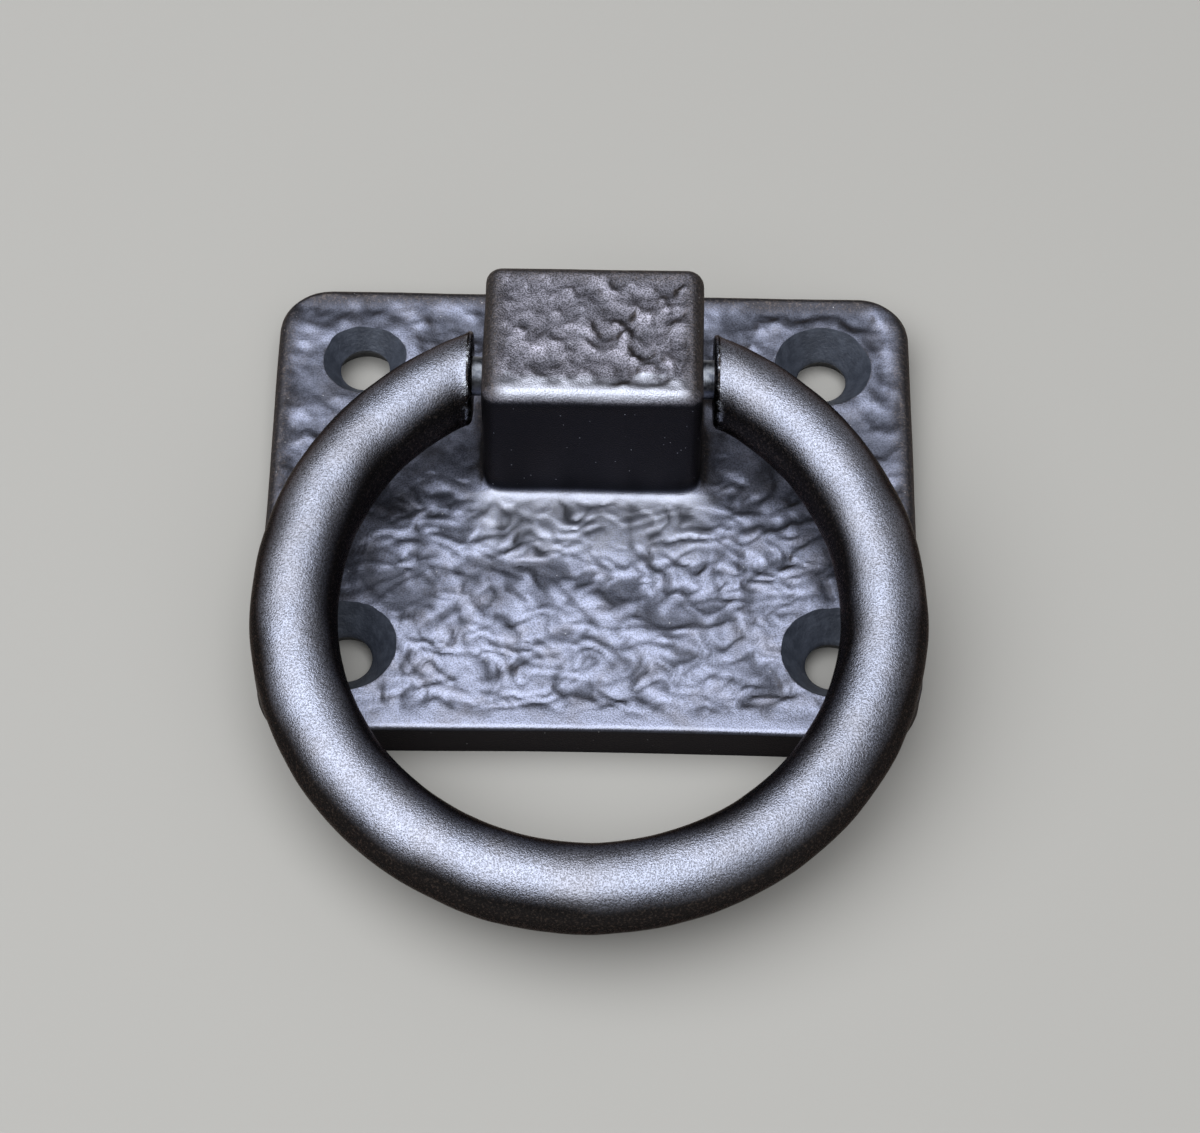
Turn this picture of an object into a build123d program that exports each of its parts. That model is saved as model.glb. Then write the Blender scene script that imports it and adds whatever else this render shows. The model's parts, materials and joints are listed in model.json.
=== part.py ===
from build123d import *
import math
import os

# A ring pull for a drawer front, lying on its back: a hammered cast plate with a lug standing on it, a round ring
# whose two ends flank the lug, and the steel pin that the ring swings on. Millimetres.
# The origin is the centre of the four screw holes on the back face. +Z points out of the drawer front, +Y up it.

# Plate
PLATE_WIDTH = 57.2
PLATE_HEIGHT = 46.0
PLATE_THICKNESS = 4.0
PLATE_CORNER_RADIUS = 4.6
PLATE_EDGE_RADIUS = 1.2

# Screw holes, for countersunk wood screws
SCREW_SPACING_X = 41.2
SCREW_SPACING_Y = 29.8
SCREW_HOLE_DIAMETER = 4.4
COUNTERSINK_DIAMETER = 9.0
COUNTERSINK_ANGLE = 82.0

# Lug, cast in one with the plate
LUG_WIDTH = 19.0
LUG_DEPTH = 14.4
LUG_HEIGHT = 14.1
LUG_CENTRE_Y = 8.0
LUG_CORNER_RADIUS = 1.5
LUG_TOP_RADIUS = 1.9
LUG_FOOT_RADIUS = 1.3

# Pin, tight in the lug
PIN_DIAMETER = 3.4
PIN_BELOW_LUG_TOP = 7.1
PIN_REACH_INTO_RING = 2.6
PIN_END_CHAMFER = 0.3

# Ring, one round bar
RING_MEAN_DIAMETER = 49.0
RING_BAR_DIAMETER = 7.5
RING_END_CHAMFER = 0.4
RING_END_CLEARANCE = 0.9
RING_BORE_CLEARANCE = 0.05
RING_BORE_RUNOUT = 0.3
RING_REST_CLEARANCE = 0.2

# Hammer marks: shallow round dishes in staggered rows, each pushed aside a little, inside a smooth border
MARK_BALL_RADIUS = 11.0
MARK_DEPTH = 0.32
MARK_DEPTH_SPREAD = 0.1
MARK_SPACING = 4.6
MARK_WANDER = 0.9
MARK_BORDER = 0.5
MARK_TURN = 137.5

lug_top = PLATE_THICKNESS + LUG_HEIGHT
pin_y = LUG_CENTRE_Y
pin_z = lug_top - PIN_BELOW_LUG_TOP
ring_radius = RING_MEAN_DIAMETER / 2
bar_radius = RING_BAR_DIAMETER / 2
ring_end_x = LUG_WIDTH / 2 + RING_END_CLEARANCE
ring_drop = math.sqrt(ring_radius**2 - ring_end_x**2)


def hammer_mark(depth):
    """The cap of the hammer's ball that sinks to this depth in a level face at height zero, and stands as far above."""
    latitude = math.degrees(math.acos(1 - 2 * depth / MARK_BALL_RADIUS)) - 90
    cap = Sphere(MARK_BALL_RADIUS, arc_size1=-90, arc_size2=latitude, align=None)
    return Pos(0, 0, MARK_BALL_RADIUS - depth) * cap


def hammer_marks(width, height):
    """Place, reach and cutter of each mark that fits on a level face of this size, centred on the origin."""
    row_step = MARK_SPACING * math.sqrt(3) / 2
    rows = math.ceil(height / row_step)
    columns = math.ceil(width / MARK_SPACING)
    for row in range(rows):
        for column in range(columns):
            turn = math.radians(MARK_TURN) * (row * columns + column)
            stagger = MARK_SPACING / 4 * (-1) ** row
            x = (column - (columns - 1) / 2) * MARK_SPACING + stagger + MARK_WANDER * math.cos(turn)
            y = (row - (rows - 1) / 2) * row_step + MARK_WANDER * math.sin(turn)
            depth = MARK_DEPTH + MARK_DEPTH_SPREAD * math.sin(3 * turn)
            reach = math.sqrt(2 * MARK_BALL_RADIUS * depth) + MARK_BORDER
            if abs(x) + reach < width / 2 and abs(y) + reach < height / 2:
                yield x, y, reach, Pos(x, y) * hammer_mark(depth)


def plate_marks():
    """Marks on the plate's face, inside its rounded edge and outside the hollow round the lug's foot."""
    flat_width = PLATE_WIDTH - 2 * PLATE_EDGE_RADIUS
    flat_height = PLATE_HEIGHT - 2 * PLATE_EDGE_RADIUS
    for x, y, reach, mark in hammer_marks(flat_width, flat_height):
        beside_foot = max(abs(x) - LUG_WIDTH / 2, 0)
        beyond_foot = max(abs(y - LUG_CENTRE_Y) - LUG_DEPTH / 2, 0)
        if math.hypot(beside_foot, beyond_foot) > reach + LUG_FOOT_RADIUS:
            yield Pos(0, 0, PLATE_THICKNESS) * mark


def lug_marks():
    """Marks on the top of the lug, inside its rounded edge."""
    flat_width = LUG_WIDTH - 2 * LUG_TOP_RADIUS
    flat_depth = LUG_DEPTH - 2 * LUG_TOP_RADIUS
    for x, y, reach, mark in hammer_marks(flat_width, flat_depth):
        yield Pos(0, LUG_CENTRE_Y, lug_top) * mark


def screw_holes():
    """Four countersunk through holes about the origin."""
    hole = CounterSinkHole(
        SCREW_HOLE_DIAMETER / 2, COUNTERSINK_DIAMETER / 2, PLATE_THICKNESS, COUNTERSINK_ANGLE, mode=Mode.PRIVATE
    )
    for place in GridLocations(SCREW_SPACING_X, SCREW_SPACING_Y, 2, 2):
        yield Pos(0, 0, PLATE_THICKNESS) * place * hole


def back_plate():
    """The casting: rounded plate, lug with a soft foot, hammer marks, screw holes and the bore for the pin."""
    plate = extrude(RectangleRounded(PLATE_WIDTH, PLATE_HEIGHT, PLATE_CORNER_RADIUS), PLATE_THICKNESS)
    plate = fillet(plate.faces().sort_by(Axis.Z)[-1].edges(), PLATE_EDGE_RADIUS)
    lug = extrude(RectangleRounded(LUG_WIDTH, LUG_DEPTH, LUG_CORNER_RADIUS), lug_top)
    body = plate + Pos(0, LUG_CENTRE_Y) * lug
    body = fillet(body.faces().sort_by(Axis.Z)[-1].edges(), LUG_TOP_RADIUS)
    back_face, front_face, lug_face = body.faces().filter_by(Axis.Z).sort_by(Axis.Z)
    body = fillet(front_face.inner_wires()[0].edges(), LUG_FOOT_RADIUS)
    bore = Pos(0, pin_y, pin_z) * Rot(Y=90) * Cylinder(PIN_DIAMETER / 2, 2 * ring_end_x)
    return body - list(plate_marks()) - list(lug_marks()) - list(screw_holes()) - bore


def rest_tilt():
    """The angle at which the hanging ring's underside meets the plate, at its lower edge or under the ring's foot."""
    reach = min(pin_y + PLATE_HEIGHT / 2, ring_drop + ring_radius)
    room = pin_z - PLATE_THICKNESS - RING_REST_CLEARANCE
    return math.degrees(math.acos(bar_radius / math.hypot(room, reach)) - math.atan2(reach, room))


def pull_ring():
    """The open ring with flat, chamfered ends and a blind bore in each, swung down to rest on the plate."""
    outer_diameter = RING_MEAN_DIAMETER + RING_BAR_DIAMETER
    mouth = Pos(0, outer_diameter / 2) * Box(2 * ring_end_x, outer_diameter, outer_diameter)
    ring = Torus(ring_radius, bar_radius) - mouth
    ring = chamfer(ring.faces().filter_by(Axis.X).edges(), RING_END_CHAMFER)
    bore_depth = PIN_REACH_INTO_RING + RING_BORE_RUNOUT
    bore = Rot(Y=90) * Cylinder(PIN_DIAMETER / 2 + RING_BORE_CLEARANCE, 2 * (ring_end_x + bore_depth))
    ring = Pos(0, -ring_drop) * ring - bore
    return Pos(0, pin_y, pin_z) * Rot(X=rest_tilt()) * ring


def pivot_pin():
    """The plain steel pin, through the lug and into both ends of the ring."""
    pin = Cylinder(PIN_DIAMETER / 2, 2 * (ring_end_x + PIN_REACH_INTO_RING))
    pin = chamfer(pin.edges().filter_by(GeomType.CIRCLE), PIN_END_CHAMFER)
    return Pos(0, pin_y, pin_z) * Rot(Y=90) * pin


os.makedirs("parts", exist_ok=True)
for piece in (back_plate, pull_ring, pivot_pin):
    export_step(piece(), f"parts/{piece.__name__}.step")
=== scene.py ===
import json
import math

import bmesh
import bpy
from mathutils import Matrix, Vector, noise


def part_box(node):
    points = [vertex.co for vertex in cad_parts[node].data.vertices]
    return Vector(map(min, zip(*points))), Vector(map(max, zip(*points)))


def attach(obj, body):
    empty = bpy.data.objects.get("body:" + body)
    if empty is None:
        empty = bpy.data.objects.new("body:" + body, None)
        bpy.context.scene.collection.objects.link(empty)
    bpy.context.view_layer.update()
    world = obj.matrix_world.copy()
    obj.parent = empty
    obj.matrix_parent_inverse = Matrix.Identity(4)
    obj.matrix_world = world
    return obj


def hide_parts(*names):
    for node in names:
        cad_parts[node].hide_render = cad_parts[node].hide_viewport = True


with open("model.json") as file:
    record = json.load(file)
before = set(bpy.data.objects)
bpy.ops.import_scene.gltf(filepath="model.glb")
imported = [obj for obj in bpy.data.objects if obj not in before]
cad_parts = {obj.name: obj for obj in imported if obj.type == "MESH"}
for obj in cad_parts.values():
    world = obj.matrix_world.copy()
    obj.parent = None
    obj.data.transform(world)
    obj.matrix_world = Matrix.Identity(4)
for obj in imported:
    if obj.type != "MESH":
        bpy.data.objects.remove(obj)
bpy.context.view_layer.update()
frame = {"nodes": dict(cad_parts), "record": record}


# Back plate
# One iron casting: a flat rectangular plate with a crinkled, hammered face, and a square lug that grows out
# of it. It is cast first, then drilled and countersunk for four wood screws and cross-drilled for the pin.
# A dark wax covers it, worn thin on the high spots. Its colour also carries painted shade in the creases
# and dimples and on steep faces, painted highlights along the front edges, and painted light on the plate
# before the lug, where the lug and ring shade it.
plate_low, plate_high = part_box("back_plate")
pin_low, pin_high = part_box("pivot_pin")
pin_axis = (pin_low + pin_high) / 2
pin_radius = (pin_high.z - pin_low.z) / 2

plate_thickness = 0.0040
plate_front_corner = 0.0062
plate_rear_corner = 0.0046
plate_front_rim = 0.00035
plate_side_rim = 0.0015
lug_width = 0.0190
lug_depth = 0.0144
lug_corner = 0.0015
lug_rim = 0.0019
lug_foot = 0.0013
corner_steps = 10
rim_steps = 8
spare_stock = 0.0010
casting_voxel = 0.00024


def rounded_block(mesh, low, high, front_corner, rear_corner, rim):
    """A block with rounded upright corners. Its top edges carry their share of the lug's rim."""
    size = high - low
    centre = (low + high) / 2
    place = Matrix.Translation(centre) @ Matrix.Diagonal((*size, 1))
    made = bmesh.ops.create_cube(mesh, size=1, matrix=place)
    edges = {e for v in made["verts"] for e in v.link_edges}
    upright = [e for e in edges if abs(e.verts[0].co.z - e.verts[1].co.z) > size.z / 2]
    front = [e for e in upright if e.verts[0].co.y < centre.y]
    rear = [e for e in upright if e.verts[0].co.y > centre.y]
    for corners, radius in ((front, front_corner), (rear, rear_corner)):
        rounded = bmesh.ops.bevel(
            mesh, geom=corners, offset=radius, affect="EDGES", segments=corner_steps,
            profile=0.5, material=-1,
        )
    block = {f for v in rounded["verts"] for f in v.link_faces}
    top = [f for f in block if f.normal.z > 0.9][0]
    rim_share = mesh.edges.layers.float["bevel_weight_edge"]
    for edge in top.edges:
        edge[rim_share] = rim((edge.verts[0].co + edge.verts[1].co) / 2) / lug_rim


def new_piece(name, mesh):
    """Turns a bmesh into an object of the scene."""
    data = bpy.data.meshes.new(name)
    mesh.to_mesh(data)
    mesh.free()
    piece = bpy.data.objects.new(name, data)
    bpy.context.scene.collection.objects.link(piece)
    return piece


def set_modifiers(piece):
    """Makes the piece's modifiers part of its mesh."""
    graph = bpy.context.evaluated_depsgraph_get()
    data = bpy.data.meshes.new_from_object(piece.evaluated_get(graph))
    piece.modifiers.clear()
    piece.data = data


def cut_away(piece, cutter):
    """Takes the cutter's shape out of the piece, and the cutter out of the scene."""
    cut = piece.modifiers.new("cut", "BOOLEAN")
    cut.operation = "DIFFERENCE"
    cut.solver = "MANIFOLD"
    cut.object = cutter
    set_modifiers(piece)
    bpy.data.objects.remove(cutter)


def smooth_step(low, high, value):
    """Rises softly from 0 at low to 1 at high."""
    share = min(max((value - low) / (high - low), 0), 1)
    return share * share * (3 - 2 * share)


def plate_rim(place):
    """How wide the plate's top edge is rounded: crisp along the front, soft at the sides and the rear."""
    softness = smooth_step(0, plate_front_corner, place.y - plate_low.y)
    return plate_front_rim + (plate_side_rim - plate_front_rim) * softness


casting = bmesh.new()
casting.edges.layers.float.new("bevel_weight_edge")
plate_base = plate_low - Vector((0, 0, spare_stock))
plate_top = Vector((plate_high.x, plate_high.y, plate_thickness))
rounded_block(casting, plate_base, plate_top, plate_front_corner, plate_rear_corner, plate_rim)
lug_low = Vector((-lug_width / 2, pin_axis.y - lug_depth / 2, plate_thickness / 2))
lug_high = Vector((lug_width / 2, pin_axis.y + lug_depth / 2, plate_high.z))
rounded_block(casting, lug_low, lug_high, lug_corner, lug_corner, lambda place: lug_rim)
back_plate = new_piece("hammered_plate", casting)
rounding = back_plate.modifiers.new("rounding", "BEVEL")
rounding.limit_method = "WEIGHT"
rounding.width = lug_rim
rounding.segments = rim_steps
melt = back_plate.modifiers.new("melt", "REMESH")
melt.mode = "VOXEL"
melt.voxel_size = casting_voxel
set_modifiers(back_plate)

screw_mount = next(m for m in frame["record"]["mounts"] if m["name"] == "screw_holes")
screw_x = screw_mount["dims"]["spacing_x_mm"] / 2000
screw_y = screw_mount["dims"]["spacing_y_mm"] / 2000
screw_radius = screw_mount["dims"]["hole_r_mm"] / 1000
sink_radius = 0.0045
sink_half_angle = math.radians(41)


def on_lug(place):
    """Whether a place is on the lug, above its foot."""
    return place.z > plate_thickness + lug_foot


def beside_lug(place):
    """How far a place lies outside the lug's upright walls."""
    side = max(abs(place.x) - lug_width / 2, 0)
    end = max(abs(place.y - pin_axis.y) - lug_depth / 2, 0)
    return math.hypot(side, end)


def beside_screw(place):
    """How far a place lies from the nearest screw's axis."""
    return math.hypot(abs(place.x) - screw_x, abs(place.y) - screw_y)


def wander(spot, aside, ahead):
    """A sideways push that changes from spot to spot."""
    return Vector((noise.noise(spot + aside), noise.noise(spot + ahead), 0))


def crinkle(place, width, seed):
    """Soft lumps with sharp creases that come and go, from 0 in a crease to 1 on a lump."""
    steepness = 2.7
    faintest_crease = 0.55
    spot = place / width + Vector((seed, seed * 1.7, 0))
    drift = wander(spot * 0.7, Vector((9, 0, 3)), Vector((0, 7, 5)))
    from_crease = abs(noise.noise(spot + drift * 1.1)) * steepness
    lump = smooth_step(-0.2, 1, min(from_crease, 1))
    crease = smooth_step(-0.35, 0.25, noise.noise(spot * 0.45 + Vector((4, 4, 1))))
    return 1 - (1 - lump) * (faintest_crease + (1 - faintest_crease) * crease)


def fold(place, width, seed):
    """Slow rises that end in a sharp drop, as where a hammer pushes the metal into a small step."""
    steps = 2.6
    climb = 0.82
    spot = place / width + Vector((seed, seed * 2.3, 2))
    drift = wander(spot * 1.9, Vector((0, 0, 0)), Vector((5, 1, 0)))
    share = noise.noise(spot + drift * 0.35) * steps % 1
    return share / climb if share < climb else (1 - share) / (1 - climb)


def bumps(place, width, seed):
    """Separate smooth bumps and dimples in a level ground, from 0 in a dimple to 1 on a bump."""
    ground = 0.45
    spot = place / width + Vector((seed, seed * 1.3, 0))
    swell = noise.noise(spot) + 0.35 * noise.noise(spot * 2.1)
    bump = smooth_step(-0.05, 0.55, swell)
    dimple = smooth_step(-0.05, 0.55, -swell)
    return ground + (1 - ground) * bump - ground * dimple


def bumps_and_pimples(place, bump_width, pimple_width, seed):
    """Bumps with smaller ones among them, from 0 in a dimple to 1 on a bump."""
    bump_share = 0.7
    large = bumps(place, bump_width, seed)
    small = bumps(place, pimple_width, seed + 3)
    return large * bump_share + small * (1 - bump_share)


lug_bump_width = 0.0018
lug_pimple_width = 0.0010
lug_bump_depth = 0.00065
lug_edge_fade = (-0.0012, 0.0006)
lug_left_fade = (-0.0040, 0.0030)
lug_left_depth = 0.70


def lug_relief(place):
    """Height and depth of the bumps on the lug's top, shallower at the left and gone at the edges."""
    level = Vector((place.x, place.y, 0))
    rise = bumps_and_pimples(level, lug_bump_width, lug_pimple_width, 3)
    from_edge = min(lug_high.x - abs(place.x), lug_high.y - place.y, place.y - lug_low.y) - lug_rim
    from_left = lug_left_depth + (1 - lug_left_depth) * smooth_step(*lug_left_fade, place.x)
    return rise, lug_bump_depth * (smooth_step(*lug_edge_fade, from_edge) * from_left)


crinkle_stretch = 1.2
crinkle_width = 0.0036
crinkle_share = 0.44
fine_crinkle_width = 0.0020
fine_crinkle_share = 0.36
fold_width = 0.0070
fold_share = 0.20
plate_bump_width = 0.0036
plate_pimple_width = 0.0018
rear_bump_share = 0.8
crinkle_depth = 0.00043
extra_bump_depth = 0.00035
bumps_begin = (-0.0030, 0.0070)
plate_front_fade = (0.0004, 0.0034)
plate_side_fade = (-0.0011, 0.0009)
lug_foot_fade = (0.0002, 0.0018)
sink_fade = 0.0014
sink_edge_depth = 0.45


def plate_relief(place):
    """Height and depth of the plate's face: crinkles and folds in front, mostly bumps towards the rear."""
    stretched = Vector((place.x, place.y * crinkle_stretch, 0))
    creased = crinkle_share * crinkle(stretched, crinkle_width, 1)
    creased += fold_share * fold(stretched, fold_width, 4)
    creased += fine_crinkle_share * crinkle(stretched, fine_crinkle_width, 2)
    bumpy = bumps_and_pimples(stretched, plate_bump_width, plate_pimple_width, 5)
    rearward = rear_bump_share * smooth_step(*bumps_begin, place.y)
    from_front = place.y - plate_low.y - plate_front_rim
    from_side = min(plate_high.x - abs(place.x), plate_high.y - place.y) - plate_side_rim
    from_sink = smooth_step(sink_radius, sink_radius + sink_fade, beside_screw(place))
    room = smooth_step(*plate_front_fade, from_front) * smooth_step(*plate_side_fade, from_side)
    room *= smooth_step(*lug_foot_fade, beside_lug(place))
    room *= sink_edge_depth + (1 - sink_edge_depth) * from_sink
    rise = creased * (1 - rearward) + bumpy * rearward
    return rise, (crinkle_depth + extra_bump_depth * rearward) * room


def surface(place, upward):
    """How high the relief stands, from 0 to 1, and how deep it goes there. Steep faces have none."""
    rise, depth = lug_relief(place) if on_lug(place) else plate_relief(place)
    return rise, depth * smooth_step(0.35, 0.9, upward)


def ripple(place, width, depth):
    """A gentle unevenness of about this width, that goes down to twice this depth."""
    return depth * (noise.noise(place / width) + 1)


foot_reach = lug_foot * 1.3
foot_passes = 30
sag_width = 0.0065
sag_depth = 0.00005
grit_width = 0.0009
grit_depth = 0.00002
wall_wave_width = 0.0085
wall_wave_depth = 0.00010
front_wave_share = 0.5
plate_taper = 0.0004
front_bow = 0.00020
bow_reach = 0.0060
bow_half_width = 0.0190

# The spare stock is cut off the back, the lug's foot is smoothed, and the relief is sunk into the faces.
relief = bmesh.new()
relief.from_mesh(back_plate.data)
whole = relief.verts[:] + relief.edges[:] + relief.faces[:]
bmesh.ops.bisect_plane(relief, geom=whole, plane_co=plate_low, plane_no=(0, 0, 1), clear_inner=True)
bmesh.ops.holes_fill(relief, edges=[e for e in relief.edges if e.is_boundary], sides=0)
bmesh.ops.recalc_face_normals(relief, faces=relief.faces[:])
foot_ring = [
    v for v in relief.verts
    if beside_lug(v.co) < foot_reach and abs(v.co.z - plate_thickness) < foot_reach
]
for smoothing in range(foot_passes):
    bmesh.ops.smooth_vert(
        relief, verts=foot_ring, factor=0.5, use_axis_x=True, use_axis_y=True, use_axis_z=True
    )
relief.normal_update()
for vert in relief.verts:
    place = vert.co.copy()
    normal = vert.normal
    rise, depth = surface(place, normal.z)
    sag = ripple(Vector((place.x, place.y, 0)), sag_width, sag_depth)
    grit = ripple(place, grit_width, grit_depth)
    wave = ripple(place, wall_wave_width, wall_wave_depth)
    if normal.y < -0.5:
        wave *= front_wave_share
    from_front = place.y - plate_low.y
    toward_front = (plate_high.y - place.y) / (plate_high.y - plate_low.y)
    mid_width = max(1 - (place.x / bow_half_width) ** 2, 0)
    vert.co -= normal * (depth * (1 - rise) + (sag + grit) * smooth_step(0.2, 0.8, normal.z))
    vert.co -= Vector((normal.x, normal.y, 0)) * wave
    vert.co.x *= 1 - plate_taper / plate_high.x * toward_front
    vert.co.y += front_bow * smooth_step(bow_reach, 0, from_front) * mid_width
    for axis in range(3):
        vert.co[axis] = min(max(vert.co[axis], plate_low[axis]), plate_high[axis])
relief.to_mesh(back_plate.data)
relief.free()

sink_rise = 0.0006
shallow_sink = 0.0006
hole_flare = 0.4
drill_sides = 96
bore_sides = 48

drills = bmesh.new()
for x in (-screw_x, screw_x):
    for y in (-screw_y, screw_y):
        sink_mouth = sink_radius - (shallow_sink if x < 0 < y else 0)
        sink_depth = (sink_mouth - screw_radius) / math.tan(sink_half_angle)
        sink = bmesh.ops.create_cone(
            drills, cap_ends=True, segments=drill_sides, radius1=screw_radius,
            radius2=sink_mouth + sink_rise * math.tan(sink_half_angle), depth=sink_depth + sink_rise,
            matrix=Matrix.Translation((x, y, plate_thickness + (sink_rise - sink_depth) / 2)),
        )
        tip = [f for f in {f for v in sink["verts"] for f in v.link_faces} if f.normal.z < -0.99]
        shank = bmesh.ops.extrude_face_region(drills, geom=tip)["geom"]
        bmesh.ops.delete(drills, geom=tip, context="FACES_ONLY")
        shank_end = [v for v in shank if isinstance(v, bmesh.types.BMVert)]
        widened = 1 + hole_flare * plate_thickness / screw_radius
        on_axis = Matrix.Translation((-x, -y, 0))
        bmesh.ops.scale(drills, vec=(widened, widened, 1), space=on_axis, verts=shank_end)
        bmesh.ops.translate(drills, vec=(0, 0, -plate_thickness), verts=shank_end)
bmesh.ops.recalc_face_normals(drills, faces=drills.faces[:])
cut_away(back_plate, new_piece("screw_drills", drills))

cross_drill = bmesh.new()
bmesh.ops.create_cone(
    cross_drill, cap_ends=True, segments=bore_sides, radius1=pin_radius, radius2=pin_radius,
    depth=lug_width * 1.2, matrix=Matrix.Translation(pin_axis) @ Matrix.Rotation(math.pi / 2, 4, "Y"),
)
cut_away(back_plate, new_piece("cross_drill", cross_drill))


class Signal:
    """One socket of a material's nodes. Sums of signals add Math nodes, and node() adds any other."""

    def __init__(self, tree, socket=None):
        self.tree = tree
        self.socket = socket

    def node(self, kind, settings, sockets, output=0):
        made = self.tree.nodes.new(kind)
        for name, value in settings.items():
            setattr(made, name, value)
        for name, value in sockets.items():
            if isinstance(value, Signal):
                self.tree.links.new(value.socket, made.inputs[name])
            else:
                made.inputs[name].default_value = value
        return Signal(self.tree, made.outputs[output] if made.outputs else None)

    def maths(self, operation, first, second):
        return self.node("ShaderNodeMath", {"operation": operation}, {0: first, 1: second})

    def __add__(self, other):
        return self.maths("ADD", self, other)

    def __sub__(self, other):
        return self.maths("SUBTRACT", self, other)

    def __rsub__(self, other):
        return self.maths("SUBTRACT", other, self)

    def __mul__(self, other):
        return self.maths("MULTIPLY", self, other)

    __radd__ = __add__
    __rmul__ = __mul__

    def noise(self, size, detail=2.0):
        """Cloudy noise with features of about this size in metres, from 0 to 1."""
        sockets = {"Vector": self, "Scale": 1 / size, "Detail": detail, "Roughness": 0.6}
        return self.node("ShaderNodeTexNoise", {}, sockets)

    def span(self, low, high):
        """Carries low to high over to 0 to 1 and holds it there."""
        sockets = {"Value": self, "From Min": low, "From Max": high}
        return self.node("ShaderNodeMapRange", {"interpolation_type": "SMOOTHSTEP"}, sockets)

    def mix(self, first, second):
        """A colour from first at 0 to second at 1. Either is a signal or three numbers."""
        colours = {6: first, 7: second}
        sockets = {k: c if isinstance(c, Signal) else (*c, 1) for k, c in colours.items()}
        return self.node("ShaderNodeMix", {"data_type": "RGBA"}, {"Factor": self, **sockets}, 2)

    def carried(self, name):
        """A value that the mesh carries at each of its points."""
        return self.node("ShaderNodeAttribute", {"attribute_name": name}, {}, "Fac")

    def along(self, axis):
        """One coordinate of a place, in metres."""
        return self.node("ShaderNodeSeparateXYZ", {}, {"Vector": self}, axis)

    def bump(self, depth, strength=1.0):
        """The way a surface faces when this signal raises it by up to this depth in metres."""
        return self.node("ShaderNodeBump", {}, {"Height": self, "Strength": strength, "Distance": depth})


def new_finish(name):
    """An empty material, with the place on the piece as its first signal."""
    material = bpy.data.materials.new(name)
    material.use_nodes = True
    material.node_tree.nodes.clear()
    place = Signal(material.node_tree).node("ShaderNodeTexCoord", {}, {}, "Object")
    return material, place


def give_shader(place, **sockets):
    """Ends a material in one principled shader."""
    names = {name.replace("_", " "): value for name, value in sockets.items()}
    shader = place.node("ShaderNodeBsdfPrincipled", {}, names)
    place.node("ShaderNodeOutputMaterial", {}, {"Surface": shader})


def waxed_casting():
    """Grey iron under dark wax, which is worn off the high spots and thick and flecked along the rims. Its
    masks also paint shade into creases, dimples and steep faces, highlights on the front edges, and light
    on the plate before the lug.
    """
    plate_metal = (0.480, 0.510, 0.675)
    lug_metal = (0.63, 0.605, 0.72)
    plate_stain = (0.27, 0.25, 0.265)
    lug_stain = (0.19, 0.20, 0.245)
    pit_metal = (0.075, 0.072, 0.080)
    polish_and_highlight_metal = (0.74, 0.76, 0.87)
    black_wax_and_shade = (0.019, 0.020, 0.025)
    rim_wax = (0.034, 0.029, 0.027)
    bare_fleck = (0.27, 0.21, 0.175)
    pale_dust = (0.55, 0.55, 0.58)
    dust_per_metre = 1050
    material, place = new_finish("waxed_casting")
    lug_share = place.along("Z").span(0.0150, 0.0172)
    grain = place.noise(0.00014)
    cloud = place.noise(0.0030, 3.0)
    fleck = place.noise(0.00026).span(0.50, 0.66)
    dust = place.node("ShaderNodeTexVoronoi", {}, {"Vector": place, "Scale": dust_per_metre})
    stain = lug_share.mix(plate_stain, lug_stain)
    metal = lug_share.mix(plate_metal, lug_metal)
    metal = (cloud.span(0.45, 0.72) * 0.45).mix(metal, stain)
    metal = (grain.span(0.60, 0.38) * (0.50 + lug_share * 0.30)).mix(metal, pit_metal)
    # The first mask below paints highlights on the front edges, partly hand polish, and light on the plate
    # before the lug; the second paints shade into creases, dimples and steep faces, along with the wax.
    metal = place.carried("polish_and_highlight").mix(metal, polish_and_highlight_metal)
    rub_and_light = place.carried("rub_and_light")
    tone = rub_and_light.mix(black_wax_and_shade, metal)
    tone = (place.carried("rim") * 0.90).mix(tone, (fleck * 0.32).mix(rim_wax, bare_fleck))
    tone = ((1 - dust.span(0.03, 0.070)) * 0.8).mix(tone, pale_dust)
    sand = grain * (0.55 + lug_share * 0.70)
    give_shader(
        place, Base_Color=tone, Metallic=0.88, Roughness=0.44 + (grain - 0.5) * 0.25,
        Normal=sand.bump(0.00007), Coat_Weight=rub_and_light * 0.15, Coat_Roughness=0.3,
        Specular_Tint=(0.6, 0.53, 0.48, 1),
    )
    return material


def drilled_iron():
    """The dull walls of the countersinks, with painted shade that turns them black towards the back."""
    dull_metal = (0.034, 0.040, 0.057)
    pale_metal = (0.062, 0.071, 0.096)
    deep_shade = (0.006, 0.006, 0.008)
    material, place = new_finish("drilled_iron")
    grain = place.noise(0.00028)
    cloud = place.noise(0.0012, 3.0)
    tone = cloud.span(0.35, 0.70).mix(dull_metal, pale_metal)
    tone = place.along("Z").span(0.0011, 0.0017).mix(deep_shade, tone)
    give_shader(
        place, Base_Color=tone, Metallic=0.0, Roughness=0.55 + (grain - 0.5) * 0.2,
        Normal=grain.bump(0.00007),
    )
    return material


sink_slack = 0.02
back_gap = 0.00001
back_plate.data.materials.clear()
back_plate.data.materials.append(waxed_casting())
back_plate.data.materials.append(drilled_iron())
for face in back_plate.data.polygons:
    face.use_smooth = True
    drilled = beside_screw(face.center) < sink_radius
    drilled = drilled and face.normal.z < math.sin(sink_half_angle) + sink_slack
    face.material_index = 1 if drilled and back_gap < face.center.z < plate_thickness else 0
back_plate.data.set_sharp_from_angle(angle=math.radians(38))
finish_edges = bmesh.new()
finish_edges.from_mesh(back_plate.data)
for edge in finish_edges.edges:
    if len({f.material_index for f in edge.link_faces}) > 1:
        edge.smooth = False
finish_edges.to_mesh(back_plate.data)
finish_edges.free()


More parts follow.
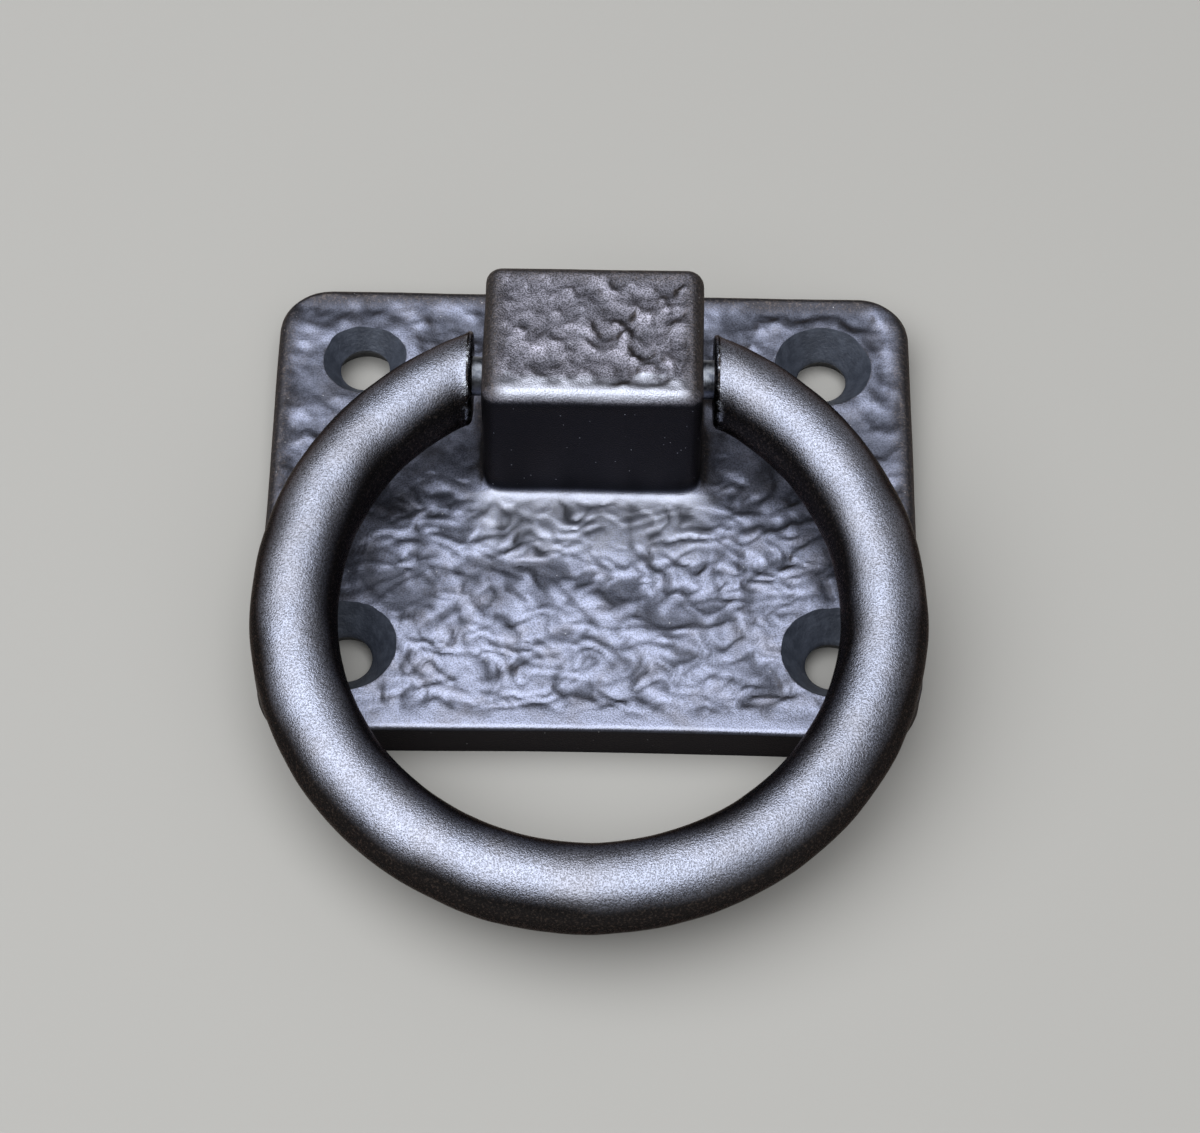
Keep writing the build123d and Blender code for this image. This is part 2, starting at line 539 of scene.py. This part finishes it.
def faces_up(normal):
    """How squarely a face looks up. Steep faces get painted shade through it."""
    return smooth_step(0.15, 0.95, normal.z)


def faces_hand(normal):
    """How far a face turns to the side where a hand takes hold."""
    return smooth_step(0.12, 0.30, -normal.y)


# Painted shade, along with wax, in creases and dimples and on the lug's ground between its bumps; the plate
# is also darker towards the rear.
full_relief = 0.00035
lug_ground_wax_and_shade = 0.50
lug_dimple_wax_and_shade = 0.22
crease_wax_and_shade = 0.78
less_rear_crease_wax_and_shade = 0.10
rear_crease = (0, 0.0080)
rear_darkening = 0.22
toward_rear_span = (-0.0040, 0.0140)


def rubbed_off_and_lit(place, normal):
    """How far bare metal shows: most on high spots; less in creases and dimples, as wax and painted shade;
    little on steep faces, as painted shade; and less towards the rear.
    """
    rise, depth = surface(place, normal.z)
    relief_share = min(depth / full_relief, 1)
    if on_lug(place):
        wax = lug_ground_wax_and_shade * (1 - smooth_step(0.52, 0.85, rise))
        wax += lug_dimple_wax_and_shade * smooth_step(0.40, 0.12, rise)
        return faces_up(normal) * (1 - wax * relief_share)
    crease = relief_share * (1 - smooth_step(0.35, 0.80, rise))
    wax = crease_wax_and_shade - less_rear_crease_wax_and_shade * smooth_step(*rear_crease, place.y)
    darker_rear = rear_darkening * smooth_step(*toward_rear_span, place.y) if place.z < plate_thickness else 0
    return faces_up(normal) * (1 - wax * crease) * (1 - darker_rear)


rim_wax_fade = (0.0008, 0.0026)


def wax_on_rim(place, normal):
    """How much wax is left on the rounded edges that no hand rubs, and just inside the edges."""
    high = lug_high if on_lug(place) else plate_high
    border = min(high.x - abs(place.x), high.y - place.y)
    rounded_edge = smooth_step(0.1, 0.5, normal.z) * (1 - smooth_step(0.86, 0.985, normal.z))
    inside_edge = faces_up(normal) * (1 - smooth_step(*rim_wax_fade, border))
    return max(rounded_edge * (1 - faces_hand(normal)), inside_edge)


# Painted highlights on the front edges, partly hand polish, and painted light before the lug, where the lug
# and ring shade the plate.
plate_front_band = 0.0012
plate_front_polish_and_highlight = 0.27
lug_front_band = 0.0028
lug_front_fade = (0.0028, 0.0018)
lug_front_top = 0.75
lug_front_polish_and_highlight = 0.9
lug_end_fade = (0.0004, 0.0024)
under_lug_sides = (lug_width * 0.62, lug_width * 0.42)
under_lug_reach = (0.0090, 0.0005)
under_lug_light = 0.62


def hand_polish_and_highlight(place, normal):
    """Painted highlights on the front edges of lug and plate, partly hand polish, and painted light on the
    plate before the lug, where the lug and ring shade it.
    """
    front_rounding = faces_hand(normal) * smooth_step(0.45, 0.75, normal.z)
    if place.y < plate_low.y + plate_front_band:
        return plate_front_polish_and_highlight * front_rounding
    if place.z > plate_high.z - lug_rim and place.y < lug_low.y + lug_front_band:
        on_top = lug_front_top * faces_up(normal) * smooth_step(*lug_front_fade, place.y - lug_low.y)
        from_end = smooth_step(*lug_end_fade, lug_high.x - abs(place.x))
        return lug_front_polish_and_highlight * max(front_rounding, on_top) * from_end
    if place.y >= lug_low.y:
        return 0
    under_lug = smooth_step(*under_lug_sides, abs(place.x))
    under_lug *= smooth_step(*under_lug_reach, beside_lug(place))
    return under_lug_light * under_lug * faces_up(normal)


# Three masks for the finish: the first carries worn wax and painted shade, the second wax on the rims, the
# third hand polish with painted highlights and painted light.
wear_and_light = {"rub_and_light": rubbed_off_and_lit, "rim": wax_on_rim, "polish_and_highlight": hand_polish_and_highlight}
for name, amount in wear_and_light.items():
    layer = back_plate.data.attributes.new(name, "FLOAT", "POINT")
    for vert in back_plate.data.vertices:
        layer.data[vert.index].value = amount(vert.co, vert.normal)
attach(back_plate, "base")
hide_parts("back_plate")


# Pivot pin
# A plain turned steel pin, pressed through the lug. It is left bare, so it glints in the two narrow gaps
# between the lug and the ring's ends.
def bare_steel():
    """Steel with fine lathe lines round it and a few darker smudges."""
    smudged_steel = (0.12, 0.13, 0.16)
    clean_steel = (0.46, 0.48, 0.53)
    lines_per_metre = 1800
    material, place = new_finish("bare_steel")
    smudge = place.noise(0.0009, 3.0).span(0.35, 0.65)
    lathe_lines = place.node(
        "ShaderNodeTexWave", {"bands_direction": "X"},
        {"Vector": place, "Scale": lines_per_metre, "Distortion": 1.5},
    )
    give_shader(
        place, Base_Color=smudge.mix(smudged_steel, clean_steel), Metallic=1.0,
        Roughness=0.28 + smudge * 0.2, Normal=lathe_lines.bump(0.00001, 0.6),
    )
    return material


pin = frame["nodes"]["pivot_pin"]
pin.data.materials.clear()
pin.data.materials.append(bare_steel())


# Pull ring
# One round bar bent into an open ring, its two ends cut square to the pin, lightly chamfered and bored to
# turn on it. It has faint dents under the same dark wax, worn bright along its top, and hangs with its
# underside at the plate's lower edge. Its lighter top and darker sides are partly that wear and partly a
# painted highlight on the top and painted shade on the sides.
ring_low, ring_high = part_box("pull_ring")
bar_radius = 0.00375
end_clearance = 0.0009
bore_clearance = 0.00005
bore_runout = 0.0003
ring_radius = ring_high.x - bar_radius
ring_end = lug_width / 2 + end_clearance
ring_drop = math.sqrt(ring_radius**2 - ring_end**2)
ring_tilt = math.asin((pin_axis.z - bar_radius - ring_low.z) / (ring_drop + ring_radius))
ring_chamfer = 0.0004
bore_radius = pin_radius + bore_clearance
bore_end = pin_high.x + bore_runout
bar_sides = 80
ring_steps = 420
half_mouth = math.asin(ring_end / ring_radius)

ring = bmesh.new()
section = bmesh.ops.create_circle(ring, segments=bar_sides, radius=bar_radius)["verts"]
stand = Matrix.Rotation(math.pi / 2 + half_mouth, 4, "Z") @ Matrix.Translation((ring_radius, 0, 0))
bmesh.ops.transform(ring, matrix=stand @ Matrix.Rotation(math.pi / 2, 4, "X"), verts=section)
bmesh.ops.spin(
    ring, geom=ring.verts[:] + ring.edges[:], cent=(0, 0, 0), axis=(0, 0, 1),
    angle=2 * (math.pi - half_mouth), steps=ring_steps,
)
for vert in ring.verts:
    reach = math.hypot(vert.co.x, vert.co.y)
    turn = math.atan2(-vert.co.x, vert.co.y) % (2 * math.pi)
    share = (turn - half_mouth) / (2 * math.pi - 2 * half_mouth)
    square_cut = math.asin(ring_end / reach)
    turn = square_cut + share * 2 * (math.pi - square_cut)
    vert.co.x = -reach * math.sin(turn)
    vert.co.y = reach * math.cos(turn)
bmesh.ops.holes_fill(ring, edges=[e for e in ring.edges if e.is_boundary], sides=0)
bmesh.ops.recalc_face_normals(ring, faces=ring.faces[:])
end_edges = [e for f in ring.faces if len(f.verts) > 4 for e in f.edges]
bmesh.ops.bevel(
    ring, geom=end_edges, offset=ring_chamfer, affect="EDGES", segments=3, profile=0.5, material=-1
)
ring.normal_update()

dent_width = 0.0050
dent_depth = 0.00009
small_dent_width = 0.0020
small_dent_depth = 0.00003
plain_end = 0.0012
for vert in ring.verts:
    on_bar = 1
    if vert.co.y > 0:
        on_bar = smooth_step(ring_end, ring_end + plain_end, abs(vert.co.x))
    dents = ripple(vert.co, dent_width, dent_depth) + ripple(vert.co, small_dent_width, small_dent_depth)
    vert.co -= vert.normal * dents * on_bar
bmesh.ops.translate(ring, vec=(0, -ring_drop, 0), verts=ring.verts)
pull_ring = new_piece("pull_ring_bar", ring)

end_bore = bmesh.new()
bmesh.ops.create_cone(
    end_bore, cap_ends=True, segments=bore_sides, radius1=bore_radius, radius2=bore_radius,
    depth=2 * bore_end, matrix=Matrix.Rotation(math.pi / 2, 4, "Y"),
)
cut_away(pull_ring, new_piece("end_bore", end_bore))


def waxed_ring():
    """Dark wax with bare flecks, worn to smooth grey metal on top and scuffed beside the lug. The light top
    and dark sides are partly wear and partly painted highlight and painted shade.
    """
    cool_metal = (0.46, 0.485, 0.60)
    warm_metal = (0.44, 0.445, 0.52)
    pit_metal = (0.10, 0.096, 0.104)
    dark_wax = (0.021, 0.0195, 0.0205)
    bare_fleck = (0.22, 0.17, 0.145)
    scuffed_metal = (0.46, 0.48, 0.53)
    material, place = new_finish("waxed_ring")
    grain = place.noise(0.00014)
    cloud = place.noise(0.0060, 3.0)
    fleck = place.noise(0.00022).span(0.50, 0.70)
    scratches = place.noise(0.0007, 3.0).span(0.50, 0.62)
    across = place.along("X")
    from_lug = across.maths("ABSOLUTE", across, 0.0)
    scuffed = from_lug.span(ring_end + 0.0010, ring_end + 0.0003)
    scuffed = scuffed * place.along("Y").span(-0.008, -0.004) * scratches
    metal = cloud.span(0.35, 0.70).mix(cool_metal, warm_metal)
    metal = (grain.span(0.60, 0.38) * 0.68).mix(metal, pit_metal)
    # Where the mask is low, the dark wax also stands for painted shade on the ring's sides; where it is
    # high, the metal also stands for a painted highlight on its top.
    tone = place.carried("rub_and_light").mix((fleck * 0.28).mix(dark_wax, bare_fleck), metal)
    roughness = 0.27 + (cloud - 0.5) * 0.10 + (grain - 0.5) * 0.2 - scuffed * 0.1
    give_shader(
        place, Base_Color=scuffed.mix(tone, scuffed_metal), Metallic=0.95, Roughness=roughness,
        Normal=grain.bump(0.00006), Coat_Weight=0.08, Coat_Roughness=0.3,
        Specular_Tint=(0.32, 0.25, 0.21, 1),
    )
    return material


rub_patch_width = 0.0050
rub_patch = 0.12
rubbed_and_lit_top = (0.57, 0.985)
pull_ring.data.materials.clear()
pull_ring.data.materials.append(waxed_ring())
for face in pull_ring.data.polygons:
    face.use_smooth = True
# A mask that is high where the bar faces up at rest and low on its sides: partly wax worn off on top,
# partly a painted highlight on the top and painted shade on the sides.
rub_and_light = pull_ring.data.attributes.new("rub_and_light", "FLOAT", "POINT")
for vert in pull_ring.data.vertices:
    patch = rub_patch * noise.noise(vert.co / rub_patch_width)
    rub_and_light.data[vert.index].value = smooth_step(*rubbed_and_lit_top, vert.normal.z + patch)
pull_ring.data.set_sharp_from_angle(angle=math.radians(35))
hang = Matrix.Translation(pin_axis) @ Matrix.Rotation(ring_tilt, 4, "X")
pull_ring.data.transform(hang)
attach(pull_ring, "ring")
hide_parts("pull_ring")


# Floor
# A plain, matt, pale surface that the pull lies on. It is seen through the ring and the screw holes, takes
# the pull's shadow, and is no part of the pull.
floor_size = 3.0
floor_colour = (0.46, 0.44, 0.41, 1)
ground = bmesh.new()
bmesh.ops.create_grid(ground, x_segments=1, y_segments=1, size=floor_size)
floor = new_piece("floor", ground)
pale_floor, floor_place = new_finish("pale_floor")
give_shader(floor_place, Base_Color=floor_colour, Roughness=0.9)
floor.data.materials.append(pale_floor)


# Light
# Three soft round panels that face the pull: a large one overhead and a little to the left, a dim one on
# the far side and a dim one near on the right. A dim room lies all round.
scene = bpy.context.scene
panel_colour = (0.92, 0.96, 1.0)
room_colour = (0.092, 0.089, 0.086, 1)


def stand_at(place, right, up, back):
    """Where a lamp or camera stands and how it is turned. It looks the opposite way to back."""
    turned = Matrix((right, up, back)).transposed()
    return Matrix.Translation(place) @ turned.to_4x4()


def soft_panel(name, place, width, depth, power):
    """A flat round panel of light that faces the pull."""
    data = bpy.data.lights.new(name, "AREA")
    data.shape = "ELLIPSE"
    data.size = width
    data.size_y = depth
    data.energy = power
    data.color = panel_colour
    panel = bpy.data.objects.new(name, data)
    away = Vector(place).normalized()
    level = Vector((0, 1, 0)).cross(away).normalized()
    panel.matrix_world = stand_at(place, level, away.cross(level), away)
    scene.collection.objects.link(panel)


soft_panel("overhead_panel", place=(-0.19, -0.07, 0.57), width=1.08, depth=1.04, power=6.2)
soft_panel("far_panel", place=(0.10, 0.30, 0.55), width=1.0, depth=0.60, power=0.5)
soft_panel("near_panel", place=(0.28, -0.34, 0.48), width=0.55, depth=0.55, power=0.7)

dim_room = bpy.data.worlds.new("dim_room")
dim_room.use_nodes = True
dim_room.node_tree.nodes["Background"].inputs["Color"].default_value = room_colour
scene.world = dim_room


# Camera
# It looks down on the pull from the side where the ring hangs, through a long lens. It is rolled a touch,
# so that the pull shows turned a little clockwise.
view_elevation = math.radians(57.97)
view_turn = math.radians(-0.16)
view_roll = math.radians(1.05)
view_distance = 0.2524
view_aim = Vector((0.00085, -0.00433, 0))
image_width = 1200
focal_length_in_pixels = 2888

view_back = Vector((
    math.sin(view_turn) * math.cos(view_elevation),
    -math.cos(view_turn) * math.cos(view_elevation),
    math.sin(view_elevation),
))
level_right = Vector((math.cos(view_turn), math.sin(view_turn), 0))
level_up = view_back.cross(level_right)
view_right = math.cos(view_roll) * level_right + math.sin(view_roll) * level_up
view_up = math.cos(view_roll) * level_up - math.sin(view_roll) * level_right
lens = bpy.data.cameras.new("camera")
lens.sensor_width = 36
lens.lens = focal_length_in_pixels / image_width * lens.sensor_width
camera = bpy.data.objects.new("camera", lens)
camera.matrix_world = stand_at(view_aim + view_back * view_distance, view_right, view_up, view_back)
scene.collection.objects.link(camera)
scene.camera = camera
scene.view_settings.view_transform = "Standard"
